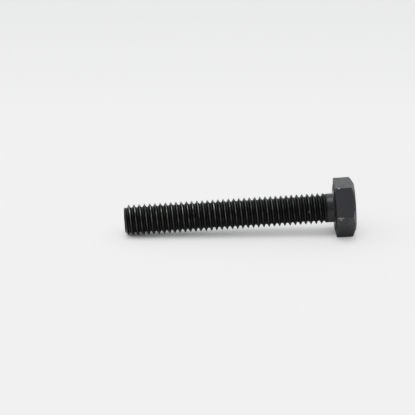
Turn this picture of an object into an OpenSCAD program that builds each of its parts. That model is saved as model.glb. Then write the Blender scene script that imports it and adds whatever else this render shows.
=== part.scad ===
// Hex bolt, threaded up to a short plain neck under the head.
// One steel forging, drawn as the zones that a fastener drawing gives sizes to.
// The bolt lies along X: head towards +X, point towards -X. The origin is on the
// axis, in the plane of the bearing face, and two flats of the hexagon face up and down.

/* [Head] */
// Distance across two opposite flats of the hexagon
across_flats = 10; // [9:0.5:16]
// Height of the head, from the bearing face to the end face
head_height = 4; // [2.5:0.1:8]
// How far the edge of the flat end face stays inside the flats
end_face_inset = 0.5; // [0.2:0.05:1]
// Angle of the chamfer, measured from the end face
head_chamfer_angle = 30; // [15:1:45]
// Width of the flat rim around the shallow forged dish in the end face
dish_rim = 0.8; // [0.4:0.1:2]
// Depth of the forged dish
dish_depth = 0.12; // [0.05:0.01:0.3]

/* [Bearing face] */
// How far the edge of the washer face stays inside the flats
washer_face_inset = 0.55; // [0.3:0.05:0.8]
// Height of the washer face
washer_face_h = 0.15; // [0.15:0.05:0.6]

/* [Neck] */
// Distance from the bearing face to the thread
neck_length = 1.3; // [0.8:0.1:3]
// How far the plain neck stays under the nominal thread diameter
neck_allowance = 0.4; // [0.2:0.05:0.8]
// Radius of the fillet under the head
fillet_r = 0.3; // [0.1:0.05:0.6]

/* [Thread] */
// Nominal thread diameter
thread_d = 6; // [5:0.1:7.5]
// Thread pitch, the advance in one turn
pitch = 1; // [0.75:0.05:1.25]
// Length from the bearing face to the point
bolt_length = 40; // [10:1:60]
// How far the crests stay under the nominal diameter, across the thread
crest_allowance = 0.08; // [0:0.02:0.3]
// How far the flanks stay under the basic pitch diameter, across the thread
flank_allowance = 0.03; // [0:0.01:0.1]
// Length over which the thread dies out towards the neck
run_out = 1; // [0.3:0.1:2]
// Angle about the axis at which the thread starts
thread_start_angle = 335; // [0:5:355]

/* [Point] */
// How far the edge of the flat point stays inside the thread's root
point_inset = 0.14; // [0.1:0.02:0.5]
// Angle of the point's chamfer, measured from the axis
point_angle = 45; // [30:5:60]

/* [Hidden] */
$fn = 96;

forged_black = [0.20, 0.20, 0.21];
rolled_black = [0.11, 0.11, 0.12];

end_face_d = across_flats - 2 * end_face_inset;
dish_d = end_face_d - 2 * dish_rim;
washer_face_d = across_flats - 2 * washer_face_inset;

// metric 60 degree thread, with its proportions to the pitch
flank_angle = 30;
thread_depth = 0.6134 * pitch;
pitch_r = (thread_d - 0.6495 * pitch - flank_allowance) / 2;
crest_r = (thread_d - crest_allowance) / 2;
root_r = thread_d / 2 - thread_depth;
// a tooth is half a pitch wide at the pitch diameter
crest_flat = pitch / 2 - 2 * (crest_r - pitch_r) * tan(flank_angle);
flank_run = (crest_r - root_r) * tan(flank_angle);
root_flat = pitch - crest_flat - 2 * flank_run;

// one pitch of the profile, as [distance along the axis, radius], from the middle of a root
tooth = [
    [root_flat / 2, root_r],
    [root_flat / 2 + flank_run, crest_r],
    [root_flat / 2 + flank_run + crest_flat, crest_r],
    [root_flat / 2 + 2 * flank_run + crest_flat, root_r]
];

neck_r = (thread_d - neck_allowance) / 2;
neck_root_r = neck_r + fillet_r;

// the thread runs from the point's cone to the neck, as distances from the bearing face
point_r = root_r - point_inset;
point_length = point_inset / tan(point_angle);
thread_from = -bolt_length + point_length;
thread_to = -neck_length;
// the profile starts some turns too low and ends too high, and is held at both end planes
turns_below = 3;
turns = ceil((thread_to - thread_from) / pitch) + turns_below + 1;

// facets round one turn, fewer on a thread of many turns
most_triangles = 12500;
facets = min(36, floor(most_triangles / (2 * len(tooth) * turns)));

// stands the bolt's own axis, drawn upwards, along X
module along_x() rotate([0, 90, 0]) children();

module hex_head() {
    hex_height = head_height - washer_face_h;
    cone_base_d = end_face_d + 2 * head_height / tan(head_chamfer_angle);
    // the dish's wall slopes over this much of its diameter, and is cut on past the end face
    dish_slope = 4 * dish_depth;
    color(forged_black) along_x()
        difference() {
            intersection() {
                translate([0, 0, washer_face_h]) rotate([0, 0, 30])
                    cylinder(h = hex_height, d = across_flats / cos(30), $fn = 6);
                cylinder(h = head_height, d1 = cone_base_d, d2 = end_face_d);
            }
            translate([0, 0, head_height - dish_depth])
                cylinder(h = 2 * dish_depth, d1 = dish_d - dish_slope, d2 = dish_d + dish_slope);
        }
}

// a ring around the root of the neck
module washer_face() {
    color(forged_black) along_x()
        rotate_extrude()
            translate([neck_root_r, 0]) square([washer_face_d / 2 - neck_root_r, washer_face_h]);
}

// the neck flares into the fillet and runs up through the washer face to the hexagon
module plain_neck() {
    color(forged_black) along_x()
        rotate_extrude() {
            translate([0, -neck_length]) square([neck_r, neck_length]);
            square([neck_root_r, washer_face_h]);
            translate([neck_r, -fillet_r])
                difference() {
                    square(fillet_r);
                    translate([fillet_r, 0]) circle(fillet_r);
                }
        }
}

// radius of a thread point at height z: cut by the point's cone, and led into the neck
function thread_r(z, r) =
    let (cone_r = root_r + (z - thread_from) * tan(point_angle),
         full = min(1, (thread_to - z) / run_out))
    neck_r + (min(r, cone_r) - neck_r) * full;

// the point where row j of the profile's helix crosses facet i
function thread_point(i, j) =
    let (corner = tooth[j % len(tooth)],
         whole_turns = floor(j / len(tooth)) - turns_below,
         rise = (whole_turns + (thread_start_angle / 360 + i / facets)) * pitch + corner[0],
         z = max(thread_from, min(thread_to, thread_from + rise)),
         r = thread_r(z, corner[1]),
         turn = 360 * i / facets)
    [r * cos(turn), r * sin(turn), z];

module threaded_shank() {
    rows = len(tooth) * turns;
    points = [for (i = [0:facets - 1], j = [0:rows - 1]) thread_point(i, j)];
    // the facet after the last is the first one, a whole pitch further along
    function at(i, j) = i < facets ? i * rows + j : min(rows - 1, j + len(tooth));
    sides = [for (i = [0:facets - 1], j = [0:rows - 2])
        each let (a = at(i, j), b = at(i + 1, j), c = at(i + 1, j + 1), d = at(i, j + 1))
            [[a, c, b], [a, d, c]]];
    // rows held at an end plane fall together, and what they span is left out
    solid_sides = [for (f = sides)
        if (points[f[0]] != points[f[1]] && points[f[1]] != points[f[2]]
            && points[f[2]] != points[f[0]]) f];
    bottom = [for (i = [0:facets - 1]) at(i, 0)];
    top = [for (i = [facets - 1:-1:0]) at(i, rows - 1)];
    color(rolled_black) along_x() polyhedron(points, concat(solid_sides, [bottom, top]));
}

module chamfered_point() {
    color(rolled_black) along_x()
        translate([0, 0, -bolt_length]) cylinder(h = point_length, r1 = point_r, r2 = root_r);
}

hex_head();
washer_face();
plain_neck();
threaded_shank();
chamfered_point();
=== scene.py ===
from math import cos, hypot, pi, radians, sin, tan

import bpy
from mathutils import Matrix, Vector


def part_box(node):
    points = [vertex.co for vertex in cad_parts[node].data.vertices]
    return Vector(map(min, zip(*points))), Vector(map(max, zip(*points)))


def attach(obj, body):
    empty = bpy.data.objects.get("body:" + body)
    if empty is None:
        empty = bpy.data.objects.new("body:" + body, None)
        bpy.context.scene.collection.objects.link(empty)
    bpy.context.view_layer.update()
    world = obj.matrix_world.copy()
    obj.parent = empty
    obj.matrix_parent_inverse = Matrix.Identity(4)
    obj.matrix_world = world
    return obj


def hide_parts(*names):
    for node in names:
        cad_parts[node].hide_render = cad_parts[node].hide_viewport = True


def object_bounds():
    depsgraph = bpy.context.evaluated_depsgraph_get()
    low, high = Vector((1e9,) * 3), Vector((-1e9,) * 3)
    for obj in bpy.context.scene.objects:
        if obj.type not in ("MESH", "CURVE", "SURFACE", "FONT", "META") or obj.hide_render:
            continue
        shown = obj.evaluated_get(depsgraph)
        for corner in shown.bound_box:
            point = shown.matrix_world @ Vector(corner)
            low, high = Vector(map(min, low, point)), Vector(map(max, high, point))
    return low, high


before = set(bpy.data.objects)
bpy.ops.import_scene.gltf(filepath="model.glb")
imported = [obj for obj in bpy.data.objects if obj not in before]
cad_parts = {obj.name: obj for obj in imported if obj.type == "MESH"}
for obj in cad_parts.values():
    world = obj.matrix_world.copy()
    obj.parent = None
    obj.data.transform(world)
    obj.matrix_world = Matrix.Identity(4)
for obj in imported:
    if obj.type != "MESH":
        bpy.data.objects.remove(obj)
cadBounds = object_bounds()

# every piece is modelled in millimetres, and brought to metres when it is finished
mm = 0.001


def boxInMm(node):
    return [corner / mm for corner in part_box(node)]


hexLow, hexHigh = boxInMm("hex_head")
ringLow, ringHigh = boxInMm("washer_face")
neckLow, neckHigh = boxInMm("plain_neck")
threadLow, threadHigh = boxInMm("threaded_shank")
pointLow, pointHigh = boxInMm("chamfered_point")
touching = 0.004       # parts of an outline closer than this are the same place


# hand tools

def deselectAll():
    if bpy.context.mode != "OBJECT":
        bpy.ops.object.mode_set(mode="OBJECT")
    bpy.ops.object.select_all(action="DESELECT")


def takeUp(obj):
    deselectAll()
    obj.select_set(True)
    bpy.context.view_layer.objects.active = obj


def nameNew(name):
    obj = bpy.context.object
    obj.name = name
    obj.data.name = name
    bpy.ops.object.transform_apply(location=True, rotation=True, scale=True)
    return obj


def editAll(selectMode="VERT"):
    bpy.ops.object.mode_set(mode="EDIT")
    bpy.ops.mesh.select_mode(type=selectMode)
    bpy.ops.mesh.select_all(action="SELECT")


def pick(obj, parts, wanted):
    # in edit mode: selects only the vertices or faces that pass a test
    bpy.ops.mesh.select_all(action="DESELECT")
    bpy.ops.object.mode_set(mode="OBJECT")
    for item in getattr(obj.data, parts):
        item.select = wanted(item)
    bpy.ops.object.mode_set(mode="EDIT")


def applyModifier(obj, kind, **settings):
    takeUp(obj)
    modifier = obj.modifiers.new(kind.title(), kind)
    for key, value in settings.items():
        setattr(modifier, key, value)
    bpy.ops.object.modifier_apply(modifier=modifier.name)


def drawOutline(name, corners):
    # a line below the axis, drawn on from one vertex: corners are (x, distance from the axis)
    deselectAll()
    bpy.ops.mesh.primitive_plane_add(size=1)
    obj = nameNew(name)
    editAll()
    bpy.ops.mesh.merge(type="CENTER")
    places = [Vector((x, 0, -r)) for x, r in corners]
    bpy.ops.transform.translate(value=places[0])
    for here, there in zip(places, places[1:]):
        bpy.ops.mesh.extrude_region_move(TRANSFORM_OT_translate={"value": there - here})
    return obj


def pickCorners(obj, corners):
    places = [Vector((x, 0, -r)) for x, r in corners]
    pick(obj, "vertices", lambda v: min((v.co - p).length for p in places) < touching)


def roundCorners(obj, corners, setback, steps):
    pickCorners(obj, corners)
    bpy.ops.mesh.bevel(offset=setback, affect="VERTICES", segments=steps, profile=0.5)


def closeUp():
    # in edit mode: seams and poles joined, faces outwards
    bpy.ops.mesh.select_all(action="SELECT")
    bpy.ops.mesh.remove_doubles(threshold=touching / 2)
    bpy.ops.mesh.normals_make_consistent(inside=False)
    bpy.ops.object.mode_set(mode="OBJECT")


def spinOutline(obj, steps):
    # turned as on a lathe: the outline goes once round the bolt's axis
    bpy.ops.mesh.select_all(action="SELECT")
    bpy.ops.mesh.spin(steps=steps, angle=2 * pi, center=(0, 0, 0), axis=(1, 0, 0))
    closeUp()


def finishPiece(obj, node, slot, smoothAngle, *materials):
    takeUp(obj)
    bpy.ops.object.shade_smooth_by_angle(angle=radians(smoothAngle))
    obj.scale = (mm, mm, mm)
    bpy.ops.object.transform_apply(scale=True)
    for material in materials:
        obj.data.materials.append(material)
    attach(obj, "root")
    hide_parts(node)
    print(obj.name, "finished,", len(obj.data.polygons), "faces")


# finishes

def srgb(code):
    # "#rrggbb" to linear red, green, blue, alpha
    parts = [int(code[i:i + 2], 16) / 255 for i in (1, 3, 5)]
    return [p / 12.92 if p <= 0.04045 else ((p + 0.055) / 1.055) ** 2.4 for p in parts] + [1]


def addNode(tree, kind, inputs, output=0, **settings):
    # inputs: values in the order of the sockets, or by a socket's name or number, and a value
    # may be the output that feeds the socket
    node = tree.nodes.new("ShaderNode" + kind)
    for key, value in settings.items():
        setattr(node, key, value)
    for key, value in inputs.items() if isinstance(inputs, dict) else enumerate(inputs):
        if isinstance(value, bpy.types.NodeSocket):
            tree.links.new(value, node.inputs[key])
        else:
            node.inputs[key].default_value = value
    return node.outputs[output] if node.outputs else None


def newMaterial(name):
    material = bpy.data.materials.new(name)
    material.use_nodes = True
    tree = material.node_tree
    tree.nodes.clear()
    return material, tree, addNode(tree, "TexCoord", {}, "Object")


def inMetres(lengths):
    return [length * mm for length in lengths]


def perMetre(size):
    # a pattern's scale, from the size of one blotch in millimetres
    return 1 / (size * mm)


# every noise below has this much fine detail
cloudy = {"Detail": 3.0, "Roughness": 0.6}


def surfaceSteel(tree, f, grain, colour, bare):
    # the grain shows in the relief and the sheen, and only bare steel reflects as a metal
    roughness = addNode(tree, "MapRange", (grain, *f["grainRange"], *f["roughness"]))
    normal = addNode(tree, "Bump", {"Height": grain, "Distance": f["grainDepth"] * mm,
                                    "Strength": f["grainStrength"]})
    steel = addNode(tree, "BsdfPrincipled", {
        "Base Color": colour, "Metallic": bare, "Specular IOR Level": f["gloss"],
        "Roughness": roughness, "Normal": normal})
    addNode(tree, "OutputMaterial", {"Surface": steel})


forgedFinish = {
    "black": "#0d0e10", "blue": "#0f141b", "brown": "#181410", "bare": "#8e8b85",
    "mottle": 1.4,          # patches of thicker and thinner oxide, mm
    "mottleRange": (0.38, 0.62),
    "grain": 0.32,          # grain left by the die, mm, as coarse as it has to be to show
    "grainRange": (0.3, 0.7),
    "grainDepth": 0.13, "grainStrength": 0.8,
    "roughness": (0.32, 0.50),
    "gloss": 0.26,          # specular level of the skin
    "rubCore": 0.2,         # share of a rubbed mark's reach that is bare all over
    "knock": 0.4,           # breaks up the rubbed marks, mm
    "knockRange": (0.35, 0.55), "knockLevels": (0.2, 1.0),
}
# what differs on the neck, drawn through the die, under the head, where the oxide is painted
# darker and duller as shade, and on the end face, which the heading punch has stamped
drawnFinish = {"black": "#050506", "blue": "#07090c", "brown": "#0b0908", "grainDepth": 0.04,
               "roughness": (0.26, 0.34), "gloss": 0.235}
underHeadShadeFinish = {"black": "#060607", "blue": "#07080a", "brown": "#0a0807",
                   "roughness": (0.5, 0.65), "gloss": 0.14}
stampedFinish = {"black": "#08090a", "blue": "#0b0e13", "brown": "#15110d", "mottle": 0.9,
                 "grain": 0.5, "grainDepth": 0.35, "roughness": (0.30, 0.58), "gloss": 0.24}

# where an edge of the hexagon has been rubbed bright by other bolts: place, reach along the
# edge and reach across it, mm
rubMarks = [((0.85, -2.9, 5.0), 0.3, 0.25), ((0.9, -5.77, 0.0), 0.85, 0.15),
            ((0.95, -5.55, -0.35), 0.15, 0.4), ((1.6, 5.77, 0.0), 0.7, 0.2),
            ((3.1, 2.9, -4.9), 0.5, 0.2), ((0.5, 2.9, 5.0), 0.4, 0.2),
            ((2.4, -2.9, -5.0), 0.5, 0.15)]


def forgedBlackOxide(name, **changes):
    # Cold-forged steel blackened in hot salts: a thin, matt magnetite skin on a slightly
    # grainy surface, blue where it is thin and brown where it is thick.
    f = {**forgedFinish, **changes}
    material, tree, place = newMaterial(name)
    mottle, grain, knock = [addNode(tree, "TexNoise", {
        "Vector": place, "Scale": perMetre(f[pattern]), **cloudy}, "Fac")
        for pattern in ("mottle", "grain", "knock")]

    thickness = addNode(tree, "MapRange", (mottle, *f["mottleRange"]))
    tint = addNode(tree, "Mix", {0: thickness, 6: srgb(f["blue"]), 7: srgb(f["brown"])}, 2,
                   data_type="RGBA")
    raised = addNode(tree, "MapRange", (grain, *f["grainRange"]))
    oxide = addNode(tree, "Mix", {0: raised, 6: srgb(f["black"]), 7: tint}, 2,
                    data_type="RGBA")

    # the rubbed marks, each fading out to its reach, and then broken up
    rub = 0.0
    for spot, lengthwise, across in rubMarks:
        away = addNode(tree, "VectorMath", (place, inMetres(spot)), operation="SUBTRACT")
        away = addNode(tree, "VectorMath", (away, inMetres((lengthwise, across, across))),
                       operation="DIVIDE")
        away = addNode(tree, "VectorMath", (away,), "Value", operation="LENGTH")
        mark = addNode(tree, "MapRange", (away, f["rubCore"], 1, 1, 0))
        rub = addNode(tree, "Math", (mark, rub), operation="MAXIMUM")
    broken = addNode(tree, "MapRange", (knock, *f["knockRange"], *f["knockLevels"]))
    rub = addNode(tree, "Math", (rub, broken), operation="MULTIPLY")
    colour = addNode(tree, "Mix", {0: rub, 6: oxide, 7: srgb(f["bare"])}, 2,
                     data_type="RGBA")
    surfaceSteel(tree, f, grain, colour, rub)
    return material


rolledFinish = {
    "black": "#030403", "wearAndSheen": "#84867d",
    "grain": 0.25, "grainRange": (0.3, 0.7),
    "grainDepth": 0.008, "grainStrength": 0.5,
    "roughness": (0.30, 0.44),
    "gloss": 0.13,
    "wornFrom": 0.008, "wornTo": 0.0016,   # wear starts and is full this far below a crest, mm
    "patch": 1.1,           # length of the worn stretches, mm
    "patchRange": (0.40, 0.66), "patchLevels": (0.05, 0.8),
    "upperSheen": (-1.4, 2.4),               # painted highlight: the crest wear shows more from this height to this one, mm
    "upperSheenLevels": (0.05, 1.0),
    "wornEnd": (-22.0, -4.0),              # and fades towards the head, from here to here, mm
    "wornEndLevels": (1.0, 0.4),
    "nick": (-4.85, -2.72, 0.5),           # a bright nick in one flank, mm
    "nickReach": (0.12, 0.3), "nickLevels": (0.45, 0.0),
}


def rolledBlackOxide(name):
    # Thread rolled between hardened dies, blackened and oiled: burnished, smoother than the
    # head and nearly black, with the oxide worn through in thin lines along the crests.
    f = rolledFinish
    material, tree, place = newMaterial(name)
    grain, patch = [addNode(tree, "TexNoise", {
        "Vector": place, "Scale": perMetre(f[pattern]), **cloudy}, "Fac")
        for pattern in ("grain", "patch")]

    # worn on the crests, in patches, and most towards the point; more on the upper side as a
    # painted highlight
    fromAxis = addNode(tree, "VectorMath", (place, (0, 1, 1)), operation="MULTIPLY")
    radius = addNode(tree, "VectorMath", (fromAxis,), "Value", operation="LENGTH")
    crest = threadHigh.z
    band = inMetres((crest - f["wornFrom"], crest - f["wornTo"]))
    wearAndSheen = addNode(tree, "MapRange", (radius, *band))
    patches = addNode(tree, "MapRange", (patch, *f["patchRange"], *f["patchLevels"]))
    wearAndSheen = addNode(tree, "Math", (wearAndSheen, patches), operation="MULTIPLY")
    # the ramp up the side is a painted highlight; the ramp along the bolt follows the wear
    for axis, reach in (("Z", "upperSheen"), ("X", "wornEnd")):
        here = addNode(tree, "SeparateXYZ", (place,), axis)
        share = addNode(tree, "MapRange", (here, *inMetres(f[reach]), *f[reach + "Levels"]))
        wearAndSheen = addNode(tree, "Math", (wearAndSheen, share), operation="MULTIPLY")
    away = addNode(tree, "VectorMath", (place, inMetres(f["nick"])), "Value",
                   operation="DISTANCE")
    nick = addNode(tree, "MapRange", (away, *inMetres(f["nickReach"]), *f["nickLevels"]))
    wearAndSheen = addNode(tree, "Math", (wearAndSheen, nick), operation="MAXIMUM")
    colour = addNode(tree, "Mix", {0: wearAndSheen, 6: srgb(f["black"]), 7: srgb(f["wearAndSheen"])}, 2,
                     data_type="RGBA")
    surfaceSteel(tree, f, grain, colour, wearAndSheen)
    return material


blackForged = forgedBlackOxide("coldForgedBlackOxide")
blackDrawn = forgedBlackOxide("drawnBlackOxide", **drawnFinish)
blackUnderHeadShade = forgedBlackOxide("underHeadPaintedShadeOxide", **underHeadShadeFinish)
blackStamped = forgedBlackOxide("stampedBlackOxide", **stampedFinish)
blackRolled = rolledBlackOxide("rolledOiledBlackOxide")
print("finishes mixed")


# hexagon head

headForm = {
    "chamferAngle": 30,        # from the end face
    "endFaceInset": 0.5,       # end face inside the flats
    "dishRim": 0.8,
    "dishSlope": 0.35,
    "dishDepth": 0.12,
    "edgeRadius": 0.09,
    "underEdgeRadius": 0.12,
    "edgeSteps": 3,
    "sharpEdge": 24,           # degrees, what is sharper is rounded
    "coneSides": 192,
    "smoothAngle": 50,
    "paintedShadeDepth": 0.06,         # depth of the finish painted darker as shade, from the underside
    "stamped": 0.18,           # and of that one, from the end face
}


def makeHead():
    f = headForm
    height = hexHigh.x - hexLow.x
    endRadius = hexHigh.z - f["endFaceInset"]
    standUp = (0, pi / 2, 0)
    deselectAll()
    bpy.ops.mesh.primitive_cylinder_add(
        vertices=6, radius=hexHigh.z / cos(pi / 6), depth=height,
        location=((hexLow.x + hexHigh.x) / 2, 0, 0), rotation=standUp)
    head = nameNew("hexHead")
    # the cone that chamfers the corners runs from the end face down past the hexagon
    deselectAll()
    bpy.ops.mesh.primitive_cone_add(
        vertices=f["coneSides"], radius2=endRadius, depth=2 * height,
        radius1=endRadius + 2 * height / tan(radians(f["chamferAngle"])),
        location=(hexHigh.x - height, 0, 0), rotation=standUp)
    cone = nameNew("chamferCone")
    editAll()
    halfFacet = pi / f["coneSides"]        # keeps the facets' edges off the corners
    bpy.ops.transform.rotate(value=halfFacet, orient_axis="X", center_override=(0, 0, 0))
    bpy.ops.object.mode_set(mode="OBJECT")
    applyModifier(head, "BOOLEAN", operation="INTERSECT", solver="EXACT", object=cone)
    bpy.data.objects.remove(cone)
    # the shallow dish that the heading punch leaves in the end face
    takeUp(head)
    editAll("FACE")
    pick(head, "polygons", lambda p: p.center.x > hexHigh.x - touching)
    radius = endRadius
    for inward, down in ((f["dishRim"], 0), (f["dishSlope"], f["dishDepth"])):
        shrink = (radius - inward) / radius
        radius -= inward
        bpy.ops.mesh.extrude_region_move(TRANSFORM_OT_translate={"value": (-down, 0, 0)})
        bpy.ops.transform.resize(value=(1, shrink, shrink), center_override=(hexHigh.x, 0, 0))
    bpy.ops.mesh.select_mode(type="EDGE")
    # the edges under the head come out of the die rounder than the others
    pick(head, "edges", lambda e: all(
        head.data.vertices[v].co.x < hexLow.x + touching for v in e.vertices))
    bpy.ops.mesh.bevel(offset=f["underEdgeRadius"], segments=f["edgeSteps"])
    bpy.ops.object.mode_set(mode="OBJECT")
    applyModifier(head, "BEVEL", width=f["edgeRadius"], segments=f["edgeSteps"],
                  limit_method="ANGLE", angle_limit=radians(f["sharpEdge"]))
    return head


head = makeHead()
finishPiece(head, "hex_head", "forged_black_steel", headForm["smoothAngle"],
            blackForged, blackUnderHeadShade, blackStamped)
# faces just under the head take the finish painted darker and duller as shade
for face in head.data.polygons:
    if face.center.x < (hexLow.x + headForm["paintedShadeDepth"]) * mm:
        face.material_index = 1
    elif face.center.x > (hexHigh.x - headForm["stamped"]) * mm:
        face.material_index = 2
applyModifier(head, "WEIGHTED_NORMAL", keep_sharp=True)


# washer face

ringForm = {"edgeRadius": 0.06, "edgeSteps": 4, "steps": 144, "smoothAngle": 40}


def makeRing():
    inner, outer = neckHigh.z, ringHigh.z
    corners = [(ringLow.x, inner), (ringHigh.x, inner), (ringHigh.x, outer),
               (ringLow.x, outer)]
    ring = drawOutline("washerFace", corners + corners[:1])
    bpy.ops.mesh.select_all(action="SELECT")
    bpy.ops.mesh.remove_doubles(threshold=touching)
    roundCorners(ring, corners[3:], ringForm["edgeRadius"], ringForm["edgeSteps"])
    spinOutline(ring, ringForm["steps"])
    return ring


ring = makeRing()
# the whole washer face takes the finish painted darker as shade under the head
finishPiece(ring, "washer_face", "forged_black_steel", ringForm["smoothAngle"], blackUnderHeadShade)


# plain neck

neckForm = {"fillet": 0.3, "filletSteps": 8, "steps": 144, "smoothAngle": 40}
neckRadius = neckHigh.z - neckForm["fillet"]


def makeNeck():
    corners = [(neckLow.x, 0), (neckLow.x, neckRadius), (0, neckRadius),
               (0, neckHigh.z), (neckHigh.x, neckHigh.z), (neckHigh.x, 0)]
    neck = drawOutline("plainNeck", corners)
    roundCorners(neck, corners[2:3], neckForm["fillet"], neckForm["filletSteps"])
    spinOutline(neck, neckForm["steps"])
    return neck


neck = makeNeck()
finishPiece(neck, "plain_neck", "forged_black_steel", neckForm["smoothAngle"], blackDrawn)


# thread

threadForm = {
    "pitch": 1.0,
    "nominalRadius": 3.0,
    "depth": 0.6134,           # below the nominal radius
    "pitchRadius": 2.6603,     # where a tooth is half a pitch wide
    "flankAngle": 30,
    "flankCuts": 4,            # lets the point's cone cut across the flanks
    "crestRound": 0.05, "crestSteps": 3,
    "rootRound": 0.075, "rootSteps": 2,
    "startAngle": 335,
    "runOut": 1.0,             # the thread dies out over this, towards the neck
    "pointAngle": 45,
    "turnsBelow": 3,           # turns before the point, cut off again
    "stepsPerTurn": 96,
    "smoothAngle": 60,
}


def makeThread():
    f = threadForm
    pitch, crest = f["pitch"], threadHigh.z
    root = f["nominalRadius"] - f["depth"]
    flankSlope = tan(radians(f["flankAngle"]))
    flankRun = (crest - root) * flankSlope
    crestFlat = pitch / 2 - 2 * (crest - f["pitchRadius"]) * flankSlope
    rootHalf = (pitch - crestFlat - 2 * flankRun) / 2
    # one pitch of the profile, from the middle of a root to the middle of the next one
    start = threadLow.x + (f["startAngle"] / 360 - f["turnsBelow"]) * pitch
    turns = int((threadHigh.x - start) / pitch) + 2
    tooth = [(start + rootHalf, root), (start + rootHalf + flankRun, crest),
             (start + rootHalf + flankRun + crestFlat, crest),
             (start + pitch - rootHalf, root)]
    thread = drawOutline("rolledThread", [(start, root)] + tooth + [(start + pitch, root)])
    for flank in (tooth[:2], tooth[2:]):
        pickCorners(thread, flank)
        bpy.ops.mesh.subdivide(number_cuts=f["flankCuts"])
    roundCorners(thread, tooth[1:3], f["crestRound"], f["crestSteps"])
    roundCorners(thread, [tooth[0], tooth[3]], f["rootRound"], f["rootSteps"])
    bpy.ops.object.mode_set(mode="OBJECT")
    applyModifier(thread, "SCREW", axis="X", angle=2 * pi, screw_offset=pitch,
                  iterations=turns, steps=f["stepsPerTurn"],
                  render_steps=f["stepsPerTurn"])
    # tapered by the point's cone, and led out to the neck
    for vertex in thread.data.vertices:
        x, y, z = vertex.co
        radius = hypot(y, z)
        cone = max(root / 2, root + (x - threadLow.x) * tan(radians(f["pointAngle"])))
        full = max(0, min(1, (threadHigh.x - x) / f["runOut"]))
        wanted = neckRadius + (min(radius, cone) - neckRadius) * full
        vertex.co.yz = y * wanted / radius, z * wanted / radius
    takeUp(thread)
    editAll()
    bpy.ops.mesh.remove_doubles(threshold=touching / 2)
    for x, side in ((threadLow.x, -1), (threadHigh.x, 1)):
        bpy.ops.mesh.select_all(action="SELECT")
        bpy.ops.mesh.bisect(plane_co=(x, 0, 0), plane_no=(side, 0, 0), use_fill=True,
                            clear_outer=True)
    closeUp()
    return thread


thread = makeThread()
finishPiece(thread, "threaded_shank", "rolled_black_steel", threadForm["smoothAngle"],
            blackRolled)


# point

pointForm = {"inset": 0.14, "edgeRadius": 0.05, "edgeSteps": 3, "steps": 144,
             "smoothAngle": 40}


def makePoint():
    root = pointHigh.z
    tip = root - pointForm["inset"]
    corners = [(pointLow.x, 0), (pointLow.x, tip), (pointHigh.x, root), (pointHigh.x, 0)]
    point = drawOutline("chamferedPoint", corners)
    roundCorners(point, corners[1:2], pointForm["edgeRadius"], pointForm["edgeSteps"])
    spinOutline(point, pointForm["steps"])
    return point


point = makePoint()
finishPiece(point, "chamfered_point", "rolled_black_steel", pointForm["smoothAngle"],
            blackRolled)


# table, light and camera

tableForm = {
    "lean": 2.98,          # degrees, the bolt lies on its head's edge and its last crests
    "size": 4.0,           # m
    "board": "#efeeeb", "boardFarShade": "#dddddb",
    "farShadeSpan": (0.06, 0.16),   # m behind the bolt, where the board darkens as painted shade of the light falling off
    "roughness": 0.9, "gloss": 0.2,
    "tooth": 3.0, "toothDepth": 0.02, "toothStrength": 0.2,   # mm, mm and share
}


def layTable():
    f = tableForm
    deselectAll()
    bpy.ops.mesh.primitive_plane_add(size=f["size"])
    table = bpy.context.object
    table.name = "tableTop"
    edgeOfFlat = Vector((hexLow.x, 0, hexLow.z)) * mm
    table.matrix_world = Matrix.Translation(edgeOfFlat) @ Matrix.Rotation(
        radians(f["lean"]), 4, "Y")
    # matt painted board: a little tooth, and too little gloss to mirror the bolt; its far side
    # is darkened by painted shade
    material, tree, place = newMaterial("mattPaintedBoard")
    behind = addNode(tree, "SeparateXYZ", (place,), "Y")
    farShade = addNode(tree, "MapRange", (behind, *f["farShadeSpan"]))
    colour = addNode(tree, "Mix", {0: farShade, 6: srgb(f["board"]), 7: srgb(f["boardFarShade"])}, 2,
                     data_type="RGBA")
    tooth = addNode(tree, "TexNoise", {
        "Vector": place, "Scale": perMetre(f["tooth"]), **cloudy}, "Fac")
    normal = addNode(tree, "Bump", {"Height": tooth, "Distance": f["toothDepth"] * mm,
                                    "Strength": f["toothStrength"]})
    board = addNode(tree, "BsdfPrincipled", {
        "Base Color": colour, "Specular IOR Level": f["gloss"],
        "Roughness": f["roughness"], "Normal": normal})
    addNode(tree, "OutputMaterial", {"Surface": board})
    table.data.materials.append(material)


layTable()

softboxForm = {
    "place": (-0.02, 0.0, 0.62),   # m
    "width": 0.32,         # m, square
    "radiance": 5.2,
    "colour": "#ffffff",
}


def hangSoftbox():
    f = softboxForm
    light = bpy.data.lights.new("overheadSoftbox", "AREA")
    light.size = f["width"]
    light.energy = f["radiance"] * pi * f["width"] ** 2
    light.color = srgb(f["colour"])[:3]
    lamp = bpy.data.objects.new("overheadSoftbox", light)
    bpy.context.scene.collection.objects.link(lamp)
    lamp.location = f["place"]
    middle = Vector((cadBounds[0].x / 2, 0, 0))
    lamp.rotation_euler = (middle - lamp.location).to_track_quat("-Z", "Y").to_euler()


hangSoftbox()

# pale walls: brightest above and behind the bolt, darkest low down in front of it
room = {
    "colour": "#f6f8fc",
    "brightSide": (-0.2, 0.3, 0.93),
    "reach": (-0.5, 0.9),
    "strength": (0.36, 1.65),
}


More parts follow.
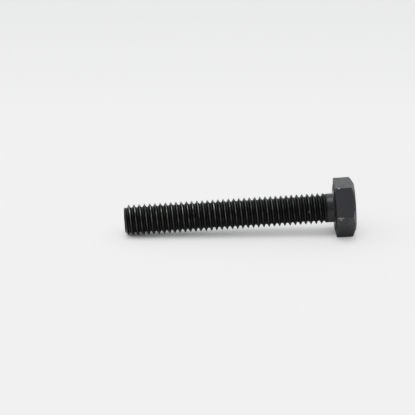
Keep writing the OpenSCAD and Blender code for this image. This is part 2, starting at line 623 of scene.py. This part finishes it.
def paintRoom():
    world = bpy.data.worlds.new("paleRoom")
    world.use_nodes = True
    tree = world.node_tree
    tree.nodes.clear()
    way = addNode(tree, "TexCoord", {}, "Generated")
    side = addNode(tree, "VectorMath", (way, room["brightSide"]), "Value",
                   operation="DOT_PRODUCT")
    strength = addNode(tree, "MapRange", (side, *room["reach"], *room["strength"]))
    light = addNode(tree, "Background", {"Color": srgb(room["colour"]), "Strength": strength})
    addNode(tree, "OutputWorld", {"Surface": light})
    bpy.context.scene.world = world


paintRoom()

cameraForm = {
    "down": 21.7,          # degrees down onto the bolt
    "turn": 2.0,           # the head stands a little further away than the point
    "distance": 0.4553,
    "aimLeft": 0.02407,    # middle of the picture, left of the bearing face
    "sensor": 36.0, "lens": 207.2,
    "sees": (0.01, 20),    # m
}


def placeCamera():
    f = cameraForm
    bolt = Matrix.Rotation(radians(f["turn"]), 3, "Z") @ Matrix.Rotation(
        radians(-tableForm["lean"]), 3, "Y")
    down = radians(f["down"])
    axes = Matrix(((1, 0, 0), (0, sin(down), cos(down)), (0, -cos(down), sin(down)))) @ bolt
    place = axes.transposed() @ Vector((-f["aimLeft"], 0, f["distance"]))
    camera = bpy.data.objects.new("camera", bpy.data.cameras.new("camera"))
    bpy.context.scene.collection.objects.link(camera)
    camera.data.sensor_width = f["sensor"]
    camera.data.lens = f["lens"]
    camera.data.clip_start, camera.data.clip_end = f["sees"]
    camera.matrix_world = Matrix.Translation(place) @ axes.transposed().to_4x4()
    bpy.context.scene.camera = camera


placeCamera()

# exposure like a camera's: bright tones are pressed together under white
toneCurve = {
    "white": 1.52, "top": 0.9,
    "points": [(0.075, 0.15), (0.165, 0.34), (0.25, 0.475), (0.5, 0.69), (0.88, 0.855)],
}


def setTones():
    view = bpy.context.scene.view_settings
    view.view_transform = "Standard"
    view.use_curve_mapping = True
    mapping = view.curve_mapping
    mapping.white_level = [toneCurve["white"]] * 3
    curve = mapping.curves[3]
    curve.points[-1].location = (1, toneCurve["top"])
    for x, y in toneCurve["points"]:
        curve.points.new(x, y)
    mapping.update()


setTones()
print("table, light and camera set")
